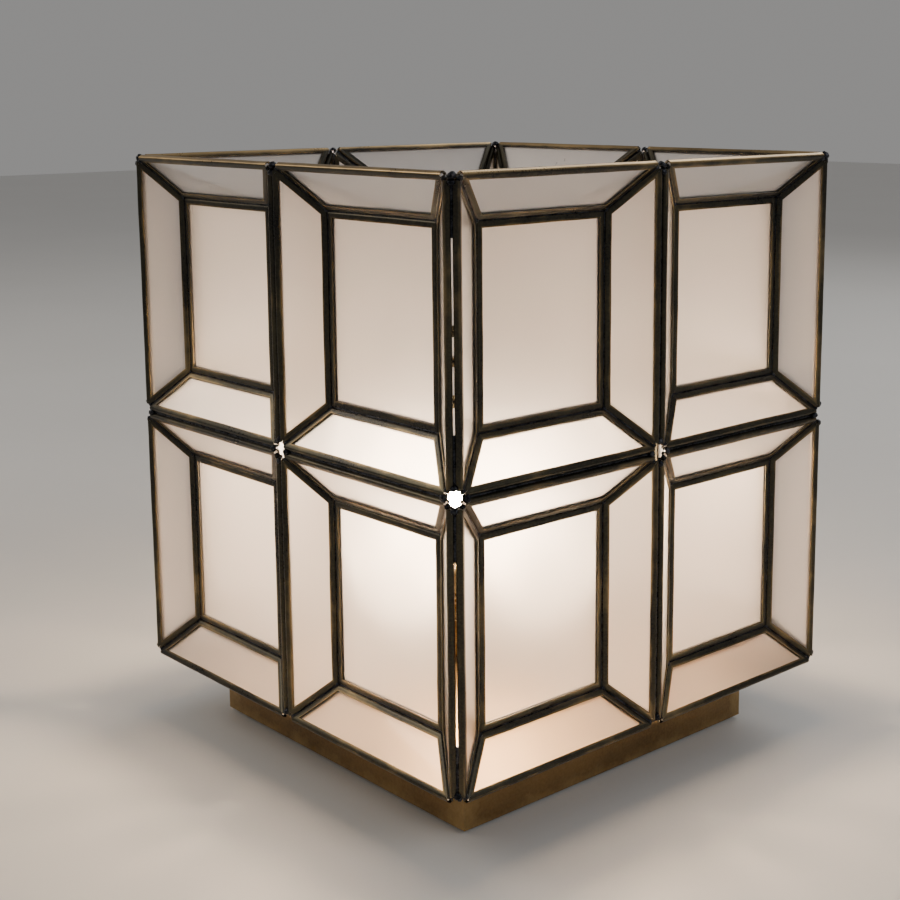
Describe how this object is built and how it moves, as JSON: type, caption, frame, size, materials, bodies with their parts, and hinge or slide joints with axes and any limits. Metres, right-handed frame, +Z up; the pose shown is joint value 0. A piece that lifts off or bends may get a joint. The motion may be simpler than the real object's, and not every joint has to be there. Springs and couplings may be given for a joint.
{
  "type": "cube table lamp",
  "caption": "Cube table lamp of frosted glass panes in soldered brass came, sunk pyramid cells on each side, open top, inset square plinth.",
  "frame": {"origin": "middle of the footprint, on the surface that the feet stand on", "axes": "+Z up through the bulb; -Y is the front face and +Y the back face, where the cord inlet is; +X is the right face"},
  "size_m": [0.28, 0.28, 0.3331],
  "materials": {
    "frosted_glass": "acid frosted inside, glossy outside",
    "came": "aged brass with dark patina and black solder",
    "brass": "antique brass sheet, lacquered",
    "steel": "zinc plated",
    "rubber": "matt black",
    "porcelain": "white glaze",
    "bulb_glass": "opal, lit"
  },
  "bodies": {
    "lamp": {"front_came_lattice": "came", "front_lower_left_pane": "frosted_glass", "front_lower_left_bevel_panes": "frosted_glass", "front_lower_right_pane": "frosted_glass", "front_lower_right_bevel_panes": "frosted_glass", "front_upper_left_pane": "frosted_glass", "front_upper_left_bevel_panes": "frosted_glass", "front_upper_right_pane": "frosted_glass", "front_upper_right_bevel_panes": "frosted_glass", "right_came_lattice": "came", "right_lower_left_pane": "frosted_glass", "right_lower_left_bevel_panes": "frosted_glass", "right_lower_right_pane": "frosted_glass", "right_lower_right_bevel_panes": "frosted_glass", "right_upper_left_pane": "frosted_glass", "right_upper_left_bevel_panes": "frosted_glass", "right_upper_right_pane": "frosted_glass", "right_upper_right_bevel_panes": "frosted_glass", "back_came_lattice": "came", "back_lower_left_pane": "frosted_glass", "back_lower_left_bevel_panes": "frosted_glass", "back_lower_right_pane": "frosted_glass", "back_lower_right_bevel_panes": "frosted_glass", "back_upper_left_pane": "frosted_glass", "back_upper_left_bevel_panes": "frosted_glass", "back_upper_right_pane": "frosted_glass", "back_upper_right_bevel_panes": "frosted_glass", "left_came_lattice": "came", "left_lower_left_pane": "frosted_glass", "left_lower_left_bevel_panes": "frosted_glass", "left_lower_right_pane": "frosted_glass", "left_lower_right_bevel_panes": "frosted_glass", "left_upper_left_pane": "frosted_glass", "left_upper_left_bevel_panes": "frosted_glass", "left_upper_right_pane": "frosted_glass", "left_upper_right_bevel_panes": "frosted_glass", "shade_floor_plate": "brass", "plinth_shell": "brass", "bottom_cover": "steel", "cord_inlet_bush": "rubber", "cover_screw_front_left": "steel", "foot_front_left": "rubber", "cover_screw_front_right": "steel", "foot_front_right": "rubber", "cover_screw_back_right": "steel", "foot_back_right": "rubber", "cover_screw_back_left": "steel", "foot_back_left": "rubber", "threaded_nipple": "steel", "nipple_washer": "steel", "lock_nut": "steel", "lampholder_cap": "brass", "lampholder_sleeve": "brass", "porcelain_insert": "porcelain", "screw_shell": "brass", "centre_contact": "brass"},
    "bulb": {"bulb_screw_cap": "steel", "bulb_glass": "bulb_glass"}
  },
  "joints": [
    {"name": "bulb_lift", "type": "slide", "parent": "lamp", "child": "bulb", "axis": [0, 0, 1], "range_m": [0, 0.285]}
  ]
}
